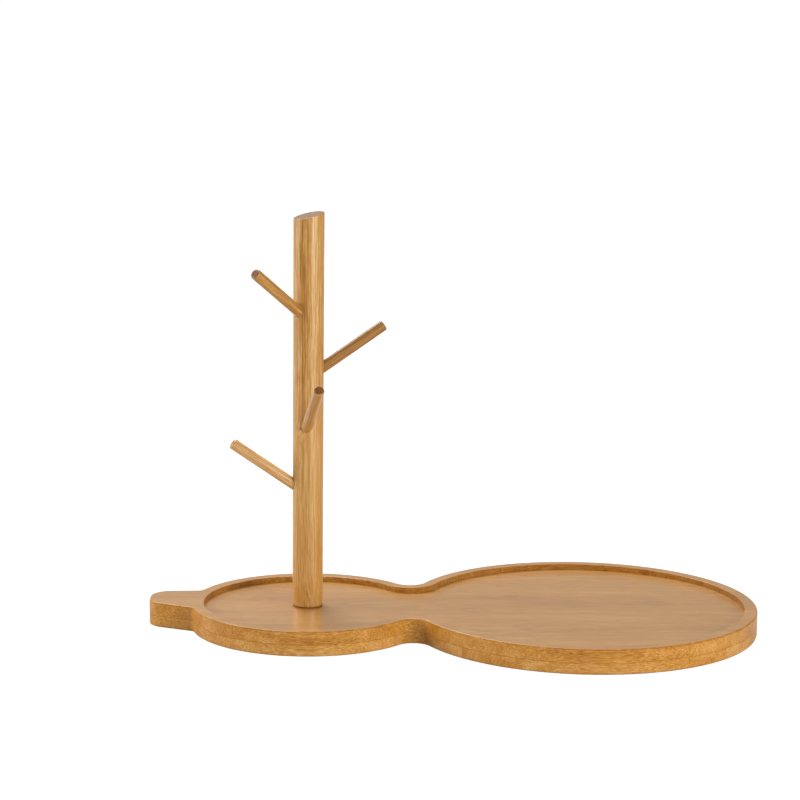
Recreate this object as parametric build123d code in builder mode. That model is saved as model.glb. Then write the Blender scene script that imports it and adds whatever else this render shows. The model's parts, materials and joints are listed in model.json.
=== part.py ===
from build123d import *
import math
import os

# A bamboo mug tree: a gourd-shaped tray of two glued plies, a round post at the small
# lobe, four slanted pegs glued into the post, and a wood screw that holds the post.
# Millimetres. The origin is on the table under the middle of the tray's length, on the
# line through the two lobe centres. +X points to the big lobe, +Y to the back, +Z up.

# Tray outline
tray_length = 290.0
big_lobe_radius = 83.2
small_lobe_radius = 55.8
lobe_spacing = 130.8
neck_radius = 7.7
stem_end_width = 21.5
stem_root_width = 35.0
stem_end_shift = 7.5
stem_root_shift = 2.4
stem_root_depth = 5.6
stem_corner_radius = 9.5
stem_root_fillet = 2.5

# Tray thickness
lower_ply_thickness = 5.4
upper_ply_thickness = 6.4
recess_depth = 2.8
rim_width = 6.2
outer_edge_radius = 0.8
rim_edge_radius = 0.5
recess_corner_radius = 0.3
glue_line_chamfer = 0.12

# Post
post_diameter = 14.5
post_back_shift = 3.0
post_left_shift = 0.5
post_top_height = 195.7
top_slope_right = 0.21
top_slope_back = 0.11
post_foot_chamfer = 0.8
post_top_edge_radius = 0.4

# Pegs: the height where the peg's axis passes the post's axis, the compass direction
# counted from +X towards +Y in degrees, the rise above level in degrees, the reach of
# the tip from there, and how far the two axes miss each other, counted to the peg's left
# as seen from the post. The front peg was drilled a little steeper and off centre.
peg_places = {
    "peg_top_left": (146.4, 228.0, 34.4, 43.6, 0.0),
    "peg_right": (119.3, 8.0, 34.4, 43.6, 0.0),
    "peg_front": (92.2, 281.6, 36.2, 45.0, -1.7),
    "peg_low_left": (63.4, 184.0, 34.4, 43.6, 0.0),
}
peg_diameter = 5.2
peg_seat = 1.5
peg_hole_spare = 0.6
peg_tip_radius = 1.0
peg_inner_chamfer = 0.4

# Countersunk wood screw
screw_length = 30.0
screw_sink = 0.4
screw_head_diameter = 8.0
screw_head_rim = 0.4
screw_shank_diameter = 3.4
screw_core_diameter = 2.7
screw_thread_diameter = 4.0
screw_thread_pitch = 1.8
screw_thread_turns = 9
screw_crest_start = 0.45
screw_crest_end = 0.55
screw_hole_diameter = 4.4
countersink_angle = 90.0
screw_cross_width = 1.1
screw_cross_span = 4.6
screw_cross_depth = 1.6
screw_cross_taper = 12.0

# Places worked out from the sizes above
tray_thickness = lower_ply_thickness + upper_ply_thickness
recess_floor = tray_thickness - recess_depth
countersink_radius = screw_head_diameter / 2 + screw_sink + screw_head_rim
big_lobe_x = tray_length / 2 - big_lobe_radius
small_lobe_x = big_lobe_x - lobe_spacing
post_x = small_lobe_x - post_left_shift
post_radius = post_diameter / 2
peg_radius = peg_diameter / 2
post_plane = Plane((post_x, post_back_shift, 0))

os.makedirs("parts", exist_ok=True)


def save(piece, name):
    """Label a finished piece and write it as its own STEP file."""
    piece.label = name
    export_step(piece, f"parts/{name}.step")


def lobes(inset):
    """The two round lobes and the waist between them, set in from the tray's edge."""
    big_reach = big_lobe_radius + neck_radius
    small_reach = small_lobe_radius + neck_radius
    neck_back = (big_reach**2 - small_reach**2 + lobe_spacing**2) / (2 * lobe_spacing)
    neck_side = math.sqrt(big_reach**2 - neck_back**2)
    neck_x = big_lobe_x - neck_back
    big_turn = math.degrees(math.atan2(neck_side, neck_x - big_lobe_x))
    small_turn = math.degrees(math.atan2(neck_side, neck_x - small_lobe_x))
    waist_turn = small_turn - big_turn
    waist_radius = neck_radius + inset
    with BuildSketch() as outline:
        with BuildLine():
            CenterArc((big_lobe_x, 0), big_lobe_radius - inset, -big_turn, 2 * big_turn)
            CenterArc((neck_x, neck_side), waist_radius, big_turn - 180, waist_turn)
            CenterArc(
                (small_lobe_x, 0), small_lobe_radius - inset, small_turn, 360 - 2 * small_turn
            )
            CenterArc((neck_x, -neck_side), waist_radius, 180 - big_turn, -waist_turn)
        make_face()
    return outline.sketch


def tray_outline():
    """The lobes with the short stem, which leans a little to the back."""
    stem_end_x = -tray_length / 2
    stem_root_x = small_lobe_x - small_lobe_radius + stem_root_depth
    end_front = (stem_end_x, stem_end_shift - stem_end_width / 2)
    end_back = (stem_end_x, stem_end_shift + stem_end_width / 2)
    root_front = (stem_root_x, stem_root_shift - stem_root_width / 2)
    root_back = (stem_root_x, stem_root_shift + stem_root_width / 2)
    with BuildSketch() as outline:
        add(lobes(0))
        with BuildLine():
            Polyline(end_front, root_front, root_back, end_back, close=True)
        make_face()
        ends = outline.vertices().group_by(Axis.X)[0]
        fillet(ends, radius=stem_corner_radius)
        left_of_lobe = outline.vertices().filter_by_position(
            Axis.X, stem_end_x + 2 * stem_corner_radius, stem_root_x
        )
        fillet(left_of_lobe, radius=stem_root_fillet)
    return outline.sketch


def screw():
    """A countersunk wood screw; rings stand for the turns of its thread."""
    head_top = screw_sink
    cone_end = head_top + screw_head_rim + (screw_head_diameter - screw_shank_diameter) / 2
    tip = head_top + screw_length
    tip_start = tip - screw_core_diameter
    thread_start = tip_start - screw_thread_turns * screw_thread_pitch
    core = screw_core_diameter / 2
    crest = screw_thread_diameter / 2
    shank = screw_shank_diameter / 2
    head = screw_head_diameter / 2
    points = [(0, head_top), (head, head_top), (head, head_top + screw_head_rim)]
    points += [(shank, cone_end), (shank, thread_start), (core, thread_start)]
    for turn in range(screw_thread_turns):
        low = thread_start + turn * screw_thread_pitch
        points.append((crest, low + screw_thread_pitch * screw_crest_start))
        points.append((crest, low + screw_thread_pitch * screw_crest_end))
        points.append((core, low + screw_thread_pitch))
    points.append((0, tip))
    axis = Axis((post_x, post_back_shift, 0), (0, 0, 1))
    side = Plane((post_x, post_back_shift, 0), x_dir=(1, 0, 0), z_dir=(0, -1, 0))
    with BuildPart() as fixing_screw:
        with BuildSketch(side):
            with BuildLine():
                Polyline(*points, close=True)
            make_face()
        revolve(axis=axis)
        with BuildSketch(post_plane.offset(head_top)):
            Rectangle(screw_cross_span, screw_cross_width)
            Rectangle(screw_cross_width, screw_cross_span)
        extrude(amount=screw_cross_depth, taper=screw_cross_taper, mode=Mode.SUBTRACT)
    return fixing_screw.part


def level_face(ply, height):
    """The one flat face of a ply that lies at this height."""
    return ply.faces().filter_by(Plane.XY).filter_by_position(Axis.Z, height, height).face()


# Lower ply, countersunk from below for the screw
with BuildPart() as tray_lower_ply:
    with BuildSketch():
        add(tray_outline())
    extrude(amount=lower_ply_thickness)
    with Locations(Plane((post_x, post_back_shift, 0), z_dir=(0, 0, -1))):
        CounterSinkHole(
            screw_hole_diameter / 2, countersink_radius, counter_sink_angle=countersink_angle
        )
    underside = level_face(tray_lower_ply, 0)
    fillet(underside.outer_wire().edges(), radius=outer_edge_radius)
    glued_face = level_face(tray_lower_ply, lower_ply_thickness)
    chamfer(glued_face.outer_wire().edges(), length=glue_line_chamfer)
save(tray_lower_ply.part, "tray_lower_ply")

# Upper ply, with the recess milled into its top
with BuildPart() as tray_upper_ply:
    with BuildSketch(Plane.XY.offset(lower_ply_thickness)):
        add(tray_outline())
    extrude(amount=upper_ply_thickness)
    with BuildSketch(Plane.XY.offset(tray_thickness)):
        add(lobes(rim_width))
    extrude(amount=-recess_depth, mode=Mode.SUBTRACT)
    with Locations((post_x, post_back_shift, recess_floor)):
        Hole(screw_hole_diameter / 2)
    glued_face = level_face(tray_upper_ply, lower_ply_thickness)
    chamfer(glued_face.outer_wire().edges(), length=glue_line_chamfer)
    rim = level_face(tray_upper_ply, tray_thickness)
    fillet(rim.outer_wire().edges(), radius=outer_edge_radius)
    rim = level_face(tray_upper_ply, tray_thickness)
    fillet(rim.inner_wires().edges(), radius=rim_edge_radius)
    floor = level_face(tray_upper_ply, recess_floor)
    fillet(floor.outer_wire().edges(), radius=recess_corner_radius)
save(tray_upper_ply.part, "tray_upper_ply")


def peg_plane(height, compass, climb, miss):
    """A plane at the post's axis whose normal runs along the peg, outwards."""
    rise = math.radians(climb)
    turn = math.radians(compass)
    along = (
        math.cos(rise) * math.cos(turn),
        math.cos(rise) * math.sin(turn),
        math.sin(rise),
    )
    start = (
        post_x - miss * math.sin(turn),
        post_back_shift + miss * math.cos(turn),
        height,
    )
    return Plane(start, z_dir=along)


fixing_screw = screw()
save(fixing_screw, "fixing_screw")

# Post, with the slanted top, the blind peg holes and the thread cut by the screw
with BuildPart() as post:
    with BuildSketch(post_plane.offset(recess_floor)):
        Circle(post_radius)
    extrude(amount=post_top_height + post_diameter - recess_floor)
    top_middle = (post_x, post_back_shift, post_top_height)
    top_cut = Plane(top_middle, z_dir=(-top_slope_right, -top_slope_back, 1))
    split(bisect_by=top_cut, keep=Keep.BOTTOM)
    fillet(post.edges().sort_by(Axis.Z)[-1], radius=post_top_edge_radius)
    chamfer(post.edges().sort_by(Axis.Z)[0], length=post_foot_chamfer)
    for height, compass, climb, _, miss in peg_places.values():
        hole_plane = peg_plane(height, compass, climb, miss)
        with BuildSketch(hole_plane.offset(peg_seat - peg_hole_spare)):
            Circle(peg_radius)
        extrude(amount=post_diameter, mode=Mode.SUBTRACT)
    add(fixing_screw, mode=Mode.SUBTRACT)
save(post.part, "post")

for peg_name, (height, compass, climb, reach, miss) in peg_places.items():
    with BuildPart() as peg:
        with BuildSketch(peg_plane(height, compass, climb, miss).offset(peg_seat)):
            Circle(peg_radius)
        extrude(amount=reach - peg_seat)
        ends = peg.edges().filter_by(GeomType.CIRCLE).sort_by(Axis.Z)
        fillet(ends[-1], radius=peg_tip_radius)
        chamfer(ends[0], length=peg_inner_chamfer)
    save(peg.part, peg_name)
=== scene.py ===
import json
import math

import bmesh
import bpy
from mathutils import Matrix, Vector


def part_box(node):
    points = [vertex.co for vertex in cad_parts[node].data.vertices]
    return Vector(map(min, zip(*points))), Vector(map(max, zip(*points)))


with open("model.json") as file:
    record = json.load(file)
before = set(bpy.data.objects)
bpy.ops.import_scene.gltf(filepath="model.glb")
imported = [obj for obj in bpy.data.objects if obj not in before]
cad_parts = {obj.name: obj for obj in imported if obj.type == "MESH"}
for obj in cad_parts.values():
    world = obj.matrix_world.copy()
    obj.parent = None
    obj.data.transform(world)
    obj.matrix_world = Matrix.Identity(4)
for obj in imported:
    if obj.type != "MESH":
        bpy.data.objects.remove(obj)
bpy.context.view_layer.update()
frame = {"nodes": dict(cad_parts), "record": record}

# A bamboo mug tree: every visible piece is a CAD node with a procedural bamboo material.
# Blender works in metres; the grain patterns work in millimetres.

mounts = {mount["name"]: mount for mount in frame["record"]["mounts"]}
MM = 0.001
X, Y, Z = (1, 0, 0), (0, 1, 0), (0, 0, 1)


# ---------------------------------------------------------------- node arithmetic


class Value:
    """A number in a node material. Sums, products and calls on it make Math nodes."""

    def __init__(self, graph, socket):
        self.graph = graph
        self.socket = socket

    def _math(self, operation, *others, clamp=False):
        return self.graph.math(operation, self, *others, clamp=clamp)

    def __add__(self, other):
        return self._math("ADD", other)

    def __radd__(self, other):
        return self._math("ADD", other)

    def __sub__(self, other):
        return self._math("SUBTRACT", other)

    def __rsub__(self, other):
        return self.graph.math("SUBTRACT", other, self)

    def __mul__(self, other):
        return self._math("MULTIPLY", other)

    def __rmul__(self, other):
        return self._math("MULTIPLY", other)

    def __truediv__(self, other):
        return self._math("DIVIDE", other)

    def floor(self):
        return self._math("FLOOR")

    def fract(self):
        return self._math("FRACT")

    def abs(self):
        return self._math("ABSOLUTE")

    def clamp(self):
        return self._math("ADD", 0.0, clamp=True)

    def power(self, exponent):
        return self._math("POWER", exponent)

    def rise(self, low, high):
        """0 below low, 1 above high and smooth between them; high may be the smaller one."""
        return self.graph.rise(self, low, high)

    def bell(self, width):
        """1 where the value is 0, falling smoothly to 0 at plus or minus width."""
        return (1.0 - (self / width) * (self / width)).clamp().power(2.0)


class Graph:
    """The node tree of one material."""

    def __init__(self, name):
        self.material = bpy.data.materials.new(name)
        self.material.use_nodes = True
        self.tree = self.material.node_tree
        self.tree.nodes.clear()

    def node(self, kind, inputs=(), **settings):
        """A new node; inputs maps socket names or numbers to values."""
        made = self.tree.nodes.new(kind)
        for name, value in settings.items():
            setattr(made, name, value)
        for key, value in dict(inputs).items():
            self.feed(made.inputs[key], value)
        return made

    def feed(self, socket, value):
        if isinstance(value, Value):
            value = value.socket
        if isinstance(value, bpy.types.NodeSocket):
            self.tree.links.new(value, socket)
        else:
            socket.default_value = value

    def math(self, operation, *values, clamp=False):
        made = self.node(
            "ShaderNodeMath", enumerate(values), operation=operation, use_clamp=clamp
        )
        return Value(self, made.outputs[0])

    def vector(self, x, y, z):
        return self.node("ShaderNodeCombineXYZ", {0: x, 1: y, 2: z}).outputs[0]

    def dot(self, vector, axis):
        made = self.node(
            "ShaderNodeVectorMath", {0: vector, 1: tuple(axis)}, operation="DOT_PRODUCT"
        )
        return Value(self, made.outputs["Value"])

    def rise(self, value, low, high):
        made = self.node(
            "ShaderNodeMapRange",
            {"Value": value, "From Min": low, "From Max": high},
            interpolation_type="SMOOTHSTEP",
        )
        return Value(self, made.outputs[0])

    def noise(self, x, y, z, detail=2.0, roughness=0.5, distortion=0.0):
        """Smooth noise from about 0.2 to 0.8, one unit of x, y and z to a bump."""
        made = self.node(
            "ShaderNodeTexNoise",
            {
                "Vector": self.vector(x, y, z),
                "Scale": 1.0,
                "Detail": detail,
                "Roughness": roughness,
                "Distortion": distortion,
            },
        )
        return Value(self, made.outputs["Fac"])

    def chance(self, x, y, z):
        """Three even random numbers for each whole x, y, z."""
        made = self.node("ShaderNodeTexWhiteNoise", {"Vector": self.vector(x, y, z)})
        parts = self.node("ShaderNodeSeparateColor", {0: made.outputs["Color"]})
        return [Value(self, parts.outputs[i]) for i in range(3)]

    def ramp(self, value, stops):
        made = self.node("ShaderNodeValToRGB", {0: value})
        points = made.color_ramp.elements
        while len(points) < len(stops):
            points.new(0.5)
        for point, (place, colour) in zip(points, stops):
            point.position = place
            point.color = (*colour, 1.0)
        return made.outputs[0]

    def tint(self, colour, amount, other, blend="MIX"):
        """The colour, with the other one mixed or multiplied in by an amount from 0 to 1."""
        if not isinstance(other, bpy.types.NodeSocket):
            other = (*other, 1.0)
        made = self.node(
            "ShaderNodeMix",
            {0: amount, 6: colour, 7: other},
            data_type="RGBA",
            blend_type=blend,
        )
        return made.outputs[2]

    def shade(self, colour, roughness, height, depth, **fixed):
        """The Principled shader; height times depth in metres is the relief."""
        relief = self.node(
            "ShaderNodeBump", {"Height": height, "Distance": depth, "Strength": 1.0}
        )
        shader = self.node(
            "ShaderNodeBsdfPrincipled",
            {
                "Base Color": colour,
                "Roughness": roughness,
                "Normal": relief.outputs[0],
            },
        )
        for name, value in fixed.items():
            self.feed(shader.inputs[name.replace("_", " ")], value)
        output = self.node("ShaderNodeOutputMaterial")
        self.tree.links.new(shader.outputs[0], output.inputs[0])


# ---------------------------------------------------------------- bamboo

# Colour ramps from the dark fibres to the pale flesh between them
BOARD = [
    (0.00, (0.185, 0.056, 0.005)),
    (0.30, (0.370, 0.138, 0.011)),
    (0.55, (0.525, 0.222, 0.029)),
    (0.80, (0.645, 0.325, 0.084)),
    (1.00, (0.745, 0.440, 0.180)),
]
ROD = [
    (0.00, (0.175, 0.060, 0.009)),
    (0.30, (0.355, 0.152, 0.024)),
    (0.55, (0.520, 0.253, 0.056)),
    (0.80, (0.655, 0.385, 0.135)),
    (1.00, (0.750, 0.520, 0.260)),
]
# Painted sheen: a pale tint mixed into the flat planed faces in place of the lacquer's pale
# reflection
PAINTED_SHEEN = (0.50, 0.33, 0.16)
GLUE = (0.20, 0.085, 0.018)
# Colours that the wood is multiplied by
OTHER_CULM = (0.97, 1.0, 0.94)
END_GRAIN = (0.35, 0.20, 0.12)
# Painted shade along the eased edges, dimming the highlight they catch, uneven in patches
PAINTED_EDGE_SHADE = (0.78, 0.70, 0.60)
# Painted shade, multiplied onto the recess's inner walls
PAINTED_RECESS_SHADE = (0.62, 0.58, 0.54)

# Sizes of the patterns in millimetres, lengths along the fibres and widths across them
STREAK_LENGTH = 60.0
LINE_LENGTH = 18.0
SPECK_LENGTH, SPECK_WIDTH = 3.2, 0.55
MOTTLE_LENGTH, MOTTLE_WIDTH = 7.0, 3.2
DRIFT_LENGTH, DRIFT_WIDTH = 70.0, 9.0
SWIRL_LENGTH, SWIRL_WIDTH = 9.0, 4.0
BEND_WIDTH, BEND_REACH = 5.0, 3.0
WOBBLE_LENGTH, WOBBLE_WIDTH, WOBBLE_REACH = 5.0, 3.0, 3.0
EYE_LENGTH, EYE_WIDTH = 6.0, 3.2
KNUCKLE_AND_SHADE_LINE, KNUCKLE_AND_SHADE_HALO = 1.3, 11.0
SEAM_WIDTH, SEAM_GAPS = 0.12, 30.0
PORE_DEPTH, PORE_WIDTH = 3.0, 0.32
EDGE_SHADE_PATCH_SIZE = 6.0
RELIEF = 0.04

# The share of the lacquer that stays on sawn faces, and the lacquer's refraction
SAWN_COAT = 0.15
LACQUER_IOR = 1.6


def face_kinds(graph, facing, planed):
    """How grainy a face is, how much of an eased edge, and how well coated, from how
    squarely it faces along the planed axis."""
    if not planed:
        return 0.0, 0.0, 1.0
    flat = graph.dot(facing, planed).abs()
    grainy = flat.rise(0.99, 0.85)
    eased = flat.rise(0.1, 0.4) * flat.rise(0.99, 0.9)
    coated = flat.rise(0.97, 0.998) * (1.0 - SAWN_COAT) + SAWN_COAT
    return grainy, eased, coated


def knuckle_and_shade_marks(x, y, bend, knuckles_and_shade_lines):
    """The dark line of each knuckle and of each painted shade line along a foot, and the
    halo where the fibres swirl round it.
    """
    line = halo = x * 0.0
    for mark_x, mark_y, reach in knuckles_and_shade_lines:
        side = (y - mark_y).bell(reach)
        line = line + (x + bend * 0.6 - mark_x).bell(KNUCKLE_AND_SHADE_LINE) * side
        halo = halo + (x - mark_x).bell(KNUCKLE_AND_SHADE_HALO) * side
    return line.clamp(), halo.clamp()


def eye_rings(graph, x, y, bend, eyes, seed):
    """The faint uneven rings that a knuckle leaves in a planed face."""
    rings = x * 0.0
    if not eyes:
        return rings
    wobble = graph.noise(x / WOBBLE_LENGTH, y / WOBBLE_WIDTH, seed, detail=2.0)
    wobble = (wobble - 0.5) * WOBBLE_REACH
    for eye_x, eye_y in eyes:
        long = (x + wobble * 2.4 - eye_x) / EYE_LENGTH
        wide = (y + bend * 0.5 + wobble * 1.2 - eye_y) / EYE_WIDTH
        rings = rings + ((long * long + wide * wide).power(0.5) - 1.0).bell(0.5)
    return rings


def recess_wall(graph, facing, x, y, along, across, milled):
    """1 on walls that face the middle of the lobe they stand in, which are the recess's."""
    small_lobe, big_lobe, waist = milled
    lobe = small_lobe + x.rise(waist - 1.0, waist + 1.0) * (big_lobe - small_lobe)
    inward = graph.dot(facing, along) * (lobe - x) - graph.dot(facing, across) * y
    return inward.rise(8.0, 30.0)


def bamboo(
    name,
    palette,
    origin,
    along,
    across,
    strip,
    shift=0.0,
    layer=None,
    seed=0.0,
    tone=0.5,
    spread=0.1,
    streaks=0.35,
    streak_width=1.8,
    lines=0.5,
    line_width=0.5,
    speckle=0.2,
    grain=0.6,
    drifts=0.3,
    mottling=0.0,
    planed=None,
    milled=None,
    trend=None,
    knuckles_and_shade_lines=(),
    eyes=(),
    bands=(),
    bands_above=(-1000.0, -900.0),
    swirl=2.0,
    wavy=None,
    end_mark=1.0,
    gloss=0.2,
    gloss_roughness=0.25,
):
    """Laminated bamboo. The fibres run along one axis, x here, and the strips lie side by
    side across another, y. Origin is in metres and all other lengths are in millimetres.

    strip, shift, layer: a strip's width, where the first one starts, and its thickness
    tone, spread: how pale the wood is, and how much that differs from strip to strip
    streaks to mottling: how strong each pattern is, with grain only on sawn faces
    planed, milled: the axis whose faces are planed, and the recess's two lobes and waist
    trend: from x, to x, and how much paler the wood gets in between
    knuckles, eyes: (x, y, reach) of dark cross lines, at a knuckle and as painted shade
    along a foot, and (x, y) of faint rings
    bands, bands_above: (y, reach, amount) of paler stripes, and where in x they fade in
    swirl, wavy: how far fibres stray, and from which x to which they get wavy and calm
    end_mark: how strong the end grain is
    """
    graph = Graph(name)
    along, across = Vector(along).normalized(), Vector(across)
    across = (across - along * across.dot(along)).normalized()
    through = along.cross(across)
    place = graph.node("ShaderNodeTexCoord").outputs["Object"]
    facing = graph.node("ShaderNodeTexCoord").outputs["Normal"]
    x, y, z = (
        graph.dot(place, axis / MM) - Vector(origin).dot(axis) / MM
        for axis in (along, across, through)
    )
    grainy, eased, coated = face_kinds(graph, facing, planed)

    # Which strip, and what is special about it
    column = y / strip + shift
    row = (z / layer + shift).floor() if layer else 0.0
    tone_draw, place_draw, hue_draw = graph.chance(column.floor(), row, seed)

    bend = graph.noise(y / BEND_WIDTH, z / BEND_WIDTH, seed, detail=1.0)
    bend = (bend - 0.5) * BEND_REACH
    line, halo = knuckle_and_shade_marks(x, y, bend, knuckles_and_shade_lines)
    rings = eye_rings(graph, x, y, bend, eyes, seed)

    # Fibres stray sideways, most of all round a knuckle and where the wood is wavy
    stray = graph.noise(x / SWIRL_LENGTH, y / SWIRL_WIDTH, z / SWIRL_WIDTH, detail=1.0)
    stray = (stray - 0.5) * swirl * (halo * 2.2 + 0.3)
    contrast = 1.0
    if wavy:
        wave = x.rise(*wavy)
        stray = stray * (wave * 1.2 + 1.0)
        contrast = 1.0 - wave * 0.4
    fy, fz = y + stray, z + stray

    streak = graph.noise(
        x / STREAK_LENGTH + place_draw * 90.0,
        fy / streak_width,
        fz / streak_width,
        detail=3.0,
    )
    fine = graph.noise(x / LINE_LENGTH, fy / line_width, fz / line_width, detail=2.0)
    speck = graph.noise(x / SPECK_LENGTH, fy / SPECK_WIDTH, fz / SPECK_WIDTH, detail=2.0)
    mottle = graph.noise(
        x / MOTTLE_LENGTH, fy / MOTTLE_WIDTH, fz / MOTTLE_WIDTH, detail=4.0, roughness=0.65
    )
    drift = graph.noise(
        x / DRIFT_LENGTH, y / DRIFT_WIDTH + tone_draw * 40.0, z / DRIFT_WIDTH, detail=1.0
    )
    level = (
        tone
        + (tone_draw - 0.5) * spread
        + (streak - 0.5) * streaks
        + (fine - 0.5) * lines * contrast
        + (speck - 0.5) * (grainy * grain + speckle) * contrast
        + (drift - 0.5) * drifts
        + (mottle - 0.5) * mottling
        - line * 0.3
        - rings * 0.1
    )
    if trend:
        level = level + x.rise(*trend[:2]) * trend[2]
    for band_y, reach, amount in bands:
        level = level + (y - band_y).bell(reach) * x.rise(*bands_above) * amount
    colour = graph.ramp(level.clamp(), palette)
    colour = graph.tint(colour, hue_draw * 0.5, OTHER_CULM, "MULTIPLY")

    # Broken glue lines between the strips
    edge = (column.fract() - 0.5).abs()
    unbroken = graph.noise(x / SEAM_GAPS, y, seed, detail=1.0).rise(0.35, 0.65)
    seam = edge.rise(0.5 - SEAM_WIDTH / strip, 0.5) * unbroken
    colour = graph.tint(colour, seam * 0.2, GLUE)

    # End grain is darker and dotted
    end = graph.dot(facing, along).abs().rise(0.75, 0.98)
    pores = graph.noise(x / PORE_DEPTH, y / PORE_WIDTH, z / PORE_WIDTH, detail=1.0)
    dots = pores.rise(0.42, 0.6) * 0.3 + 0.7
    colour = graph.tint(colour, end * dots * end_mark, END_GRAIN, "MULTIPLY")

    # Painted shade darkens the recess's walls, a painted sheen makes the planed faces paler,
    # and uneven painted shade darkens the eased edges
    if milled:
        recess_shade = recess_wall(graph, facing, x, y, along, across, milled) * grainy
        colour = graph.tint(colour, recess_shade * 0.7, PAINTED_RECESS_SHADE, "MULTIPLY")
    if planed:
        colour = graph.tint(colour, (1.0 - grainy) * 0.3, PAINTED_SHEEN)
        edge_shade_patches = graph.noise(x / EDGE_SHADE_PATCH_SIZE, y / EDGE_SHADE_PATCH_SIZE, z / EDGE_SHADE_PATCH_SIZE, detail=3.0)
        edge_shade_patches = edge_shade_patches.rise(0.3, 0.7) * 0.4 + 0.5
        colour = graph.tint(colour, eased * edge_shade_patches, PAINTED_EDGE_SHADE, "MULTIPLY")

    height = fine * 0.5 + speck * 0.35 + streak * 0.3 - seam * 0.6 - line * 0.5
    roughness = 0.42 + (streak - 0.5) * 0.2 + (speck - 0.5) * 0.1
    graph.shade(
        colour,
        roughness.clamp(),
        height,
        RELIEF * MM,
        Coat_Weight=coated * gloss,
        Coat_Roughness=gloss_roughness,
        Coat_IOR=LACQUER_IOR,
        Specular_IOR_Level=0.3,
    )
    return graph.material


# ---------------------------------------------------------------- steel


# From bluish to yellowish plating
ZINC = [
    (0.3, (0.46, 0.47, 0.50)),
    (0.5, (0.60, 0.60, 0.60)),
    (0.7, (0.68, 0.65, 0.58)),
]
CLOUD_SIZE = 3.0
TURNING_PITCH, TURNING_WIDTH, TURNING_RELIEF = 0.12, 9.0, 0.02


def zinc_steel(name):
    """Zinc-plated steel with faint clouds and turning marks round the screw's axis."""
    graph = Graph(name)
    place = graph.node("ShaderNodeTexCoord").outputs["Object"]
    x, y, z = (graph.dot(place, Vector(axis) / MM) for axis in (X, Y, Z))
    cloud = graph.noise(x / CLOUD_SIZE, y / CLOUD_SIZE, z / CLOUD_SIZE, detail=4.0)
    rings = graph.noise(
        x / TURNING_WIDTH, y / TURNING_WIDTH, z / TURNING_PITCH, detail=2.0
    )
    roughness = 0.24 + cloud * 0.16 + rings * 0.08
    graph.shade(graph.ramp(cloud, ZINC), roughness, rings, TURNING_RELIEF * MM, Metallic=1.0)
    return graph.material


# ---------------------------------------------------------------- the pieces


def dress(node, material):
    """Gives a CAD node its material."""
    for slot in frame["nodes"][node].material_slots:
        slot.link = "OBJECT"
        slot.material = material


# Along the tray in millimetres: the middles of the lobes, and the waist between them
SMALL_LOBE_X, BIG_LOBE_X, WAIST_X = -69.0, 61.8, -17.5
BOARD_STRIP = 18.5
PLY = {
    "palette": BOARD,
    "origin": (0, 0, 0),
    "along": X,
    "across": Y,
    "strip": BOARD_STRIP,
    "streak_width": 3.8,
    "streaks": 0.5,
    "lines": 0.8,
    "mottling": 0.3,
    "planed": Z,
    "end_mark": 0.2,
    "gloss": 1.0,
    "gloss_roughness": 0.2,
}
dress(
    "tray_upper_ply",
    bamboo(
        "upper_bamboo",
        **PLY,
        shift=0.768,
        seed=3.0,
        tone=0.56,
        spread=0.14,
        milled=(SMALL_LOBE_X, BIG_LOBE_X, WAIST_X),
        eyes=[(99, 9.5), (10, -5.5), (34, -34), (-91, 13), (-84, 27), (-47, 5)],
    ),
)
dress(
    "tray_lower_ply",
    bamboo(
        "lower_bamboo",
        **PLY,
        shift=0.097,
        seed=8.0,
        tone=0.65,
        trend=(-75.0, -115.0, -0.08),
    ),
)

post_low, post_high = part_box("post")
post_middle = (post_low + post_high) / 2
foot = (post_low.z - post_middle.z) / MM
dress(
    "post",
    bamboo(
        "post_bamboo",
        ROD,
        post_middle,
        along=Z,
        across=X,
        strip=6.0,
        shift=-0.117,
        layer=30.0,
        seed=5.0,
        tone=0.60,
        spread=0.08,
        lines=1.2,
        line_width=0.6,
        speckle=0.3,
        # The second line is painted shade: a dark line round the post's foot, in the crease
        # where it meets the tray
        knuckles_and_shade_lines=[(-7.5, -3.0, 3.5), (foot, 0.0, 30.0)],
        # The darker bands are streaks in the wood; the pale band at 2.2 mm is partly a paler
        # strip and partly a painted highlight, the lacquer's upright sheen
        bands=[(-2.9, 2.9, -0.13), (2.2, 1.8, 0.08), (5.6, 2.2, -0.05)],
        bands_above=(-18.0, 12.0),
        swirl=1.8,
        wavy=(0.0, -20.0),
    ),
)

# The pegs are one strip each
PEG_STRIP = 40.0
# Each peg's tone is partly its own shade of bamboo and partly painted light: the low-left
# peg is made much paler to stand in for the highlight along its top
PEG_TONES_AND_HIGHLIGHT = {"top_left": 0.40, "right": 0.26, "front": 0.46, "low_left": 0.74}
for number, (place, tone) in enumerate(PEG_TONES_AND_HIGHLIGHT.items()):
    hook = mounts["hook_" + place]
    direction = Vector(hook["axis"])
    dress(
        "peg_" + place,
        bamboo(
            "peg_bamboo_" + place,
            ROD,
            hook["pos_m"],
            along=direction,
            across=direction.cross(Vector(Z)),
            strip=PEG_STRIP,
            shift=0.5,
            seed=20.0 + number,
            tone=tone,
            lines=1.0,
            line_width=0.6,
            gloss=0.6,
            gloss_roughness=0.35,
        ),
    )
dress("fixing_screw", zinc_steel("zinc_steel"))


# ---------------------------------------------------------------- floor, light, camera

WHITE = (1.0, 1.0, 1.0, 1.0)
# Metres: half the room's width, the drops of the two floors, the point that lamps face
ROOM_REACH = 6.0
ROOM_DROP, BOUNCE_DROP = 0.0001, 0.0002
LAMP_TARGET = Vector((0.0, 0.0, 0.06))
LAMP_DISTANCE = 1.7
WORLD_STRENGTH = 0.25


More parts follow.
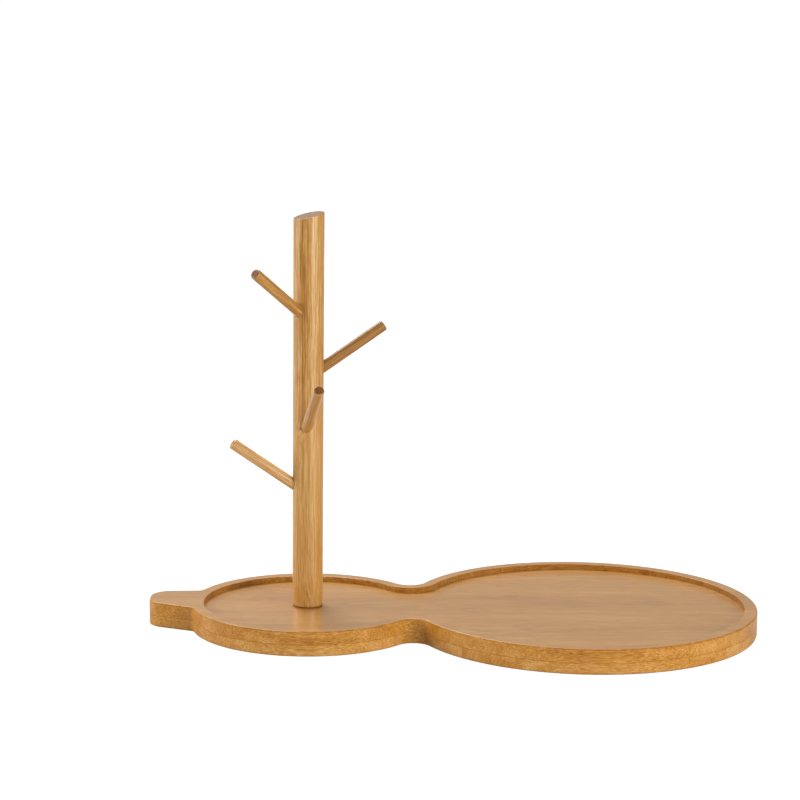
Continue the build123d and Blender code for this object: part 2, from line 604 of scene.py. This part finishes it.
def stage(name, mesh, grey, glow, for_camera):
    """A pale matt surface that isn't part of the object, seen only by the camera or only
    by the light that bounces."""
    made = bpy.data.objects.new(name, mesh)
    made.visible_camera = for_camera
    made.visible_diffuse = made.visible_glossy = made.visible_shadow = not for_camera
    bpy.context.scene.collection.objects.link(made)
    graph = Graph(name)
    shader = graph.node(
        "ShaderNodeBsdfPrincipled",
        {
            "Base Color": (grey, grey, grey, 1.0),
            "Roughness": 1.0,
            "Specular IOR Level": 0.0,
            "Emission Color": WHITE,
            "Emission Strength": glow,
        },
    )
    output = graph.node("ShaderNodeOutputMaterial")
    graph.tree.links.new(shader.outputs[0], output.inputs[0])
    mesh.materials.append(graph.material)


def floor_mesh():
    """A wide square a hair under the tray."""
    reach = ROOM_REACH
    corners = [(-reach, -reach), (reach, -reach), (reach, reach), (-reach, reach)]
    mesh = bpy.data.meshes.new("floor")
    mesh.from_pydata([(x, y, -BOUNCE_DROP) for x, y in corners], [], [(0, 1, 2, 3)])
    return mesh


def room_mesh():
    """A wide box around the object, whose floor is a hair under the tray."""
    mesh = bpy.data.meshes.new("room")
    room = bmesh.new()
    bmesh.ops.create_cube(room, size=1.0)
    for corner in room.verts:
        corner.co = (
            math.copysign(ROOM_REACH, corner.co.x),
            math.copysign(ROOM_REACH, corner.co.y),
            ROOM_REACH if corner.co.z > 0 else -ROOM_DROP,
        )
    bmesh.ops.reverse_faces(room, faces=room.faces)
    room.to_mesh(mesh)
    room.free()
    return mesh


def softbox(name, azimuth, elevation, size, power, mirrored_in=None):
    """A square area light that faces the object's middle. Azimuth 0 is in front, 90 on
    the right. With mirrored_in, only the pieces of that collection mirror it, so that the
    tray's flat faces don't glare when seen from opposite a low lamp."""
    turn, climb = math.radians(azimuth), math.radians(elevation)
    level = math.cos(climb)
    back = Vector((math.sin(turn) * level, -math.cos(turn) * level, math.sin(climb)))
    light = bpy.data.lights.new(name, "AREA")
    light.size = size
    light.energy = power
    lamp = bpy.data.objects.new(name, light)
    lamp.location = LAMP_TARGET + back * LAMP_DISTANCE
    lamp.rotation_euler = back.to_track_quat("Z", "Y").to_euler()
    lamp.visible_camera = False
    bpy.context.scene.collection.objects.link(lamp)
    if mirrored_in:
        lamp.visible_glossy = False
        shine = lamp.copy()
        shine.visible_glossy = True
        shine.visible_diffuse = False
        shine.light_linking.receiver_collection = mirrored_in
        bpy.context.scene.collection.objects.link(shine)


rods = bpy.data.collections.new("rods")
for node in ["post"] + ["peg_" + place for place in PEG_TONES_AND_HIGHLIGHT]:
    rods.objects.link(frame["nodes"][node])
stage("room", room_mesh(), grey=0.2, glow=0.95, for_camera=True)
stage("floor_bounce", floor_mesh(), grey=0.5, glow=0.15, for_camera=False)
softbox("left", azimuth=-97, elevation=16, size=0.8, power=21.0, mirrored_in=rods)
softbox("right", azimuth=40, elevation=12, size=0.8, power=21.5, mirrored_in=rods)
softbox("back_left", azimuth=210, elevation=50, size=0.8, power=17.5)
softbox("back", azimuth=180, elevation=60, size=1.2, power=10.0)

world = bpy.data.worlds.new("studio")
world.use_nodes = True
background = world.node_tree.nodes["Background"]
background.inputs["Color"].default_value = WHITE
background.inputs["Strength"].default_value = WORLD_STRENGTH
bpy.context.scene.world = world
bpy.context.scene.view_settings.view_transform = "Standard"

# The camera stands where the photograph was taken: metres and degrees
CAMERA_PLACE = Vector((-0.05049, -1.02209, 0.27636))
CAMERA_YAW, CAMERA_PITCH, CAMERA_ROLL = 1.356, 9.282, 0.602
camera = bpy.data.cameras.new("camera")
camera.lens = 99.0
camera.sensor_width = 36.0
camera.clip_start = 0.01
camera.clip_end = 100.0
eye = bpy.data.objects.new("camera", camera)
yaw, pitch, roll = (math.radians(a) for a in (CAMERA_YAW, CAMERA_PITCH, CAMERA_ROLL))
turn = (
    Matrix.Rotation(-yaw, 3, "Z")
    @ Matrix.Rotation(math.pi / 2 - pitch, 3, "X")
    @ Matrix.Rotation(roll, 3, "Z")
)
eye.matrix_world = Matrix.Translation(CAMERA_PLACE) @ turn.to_4x4()
bpy.context.scene.collection.objects.link(eye)
bpy.context.scene.camera = eye
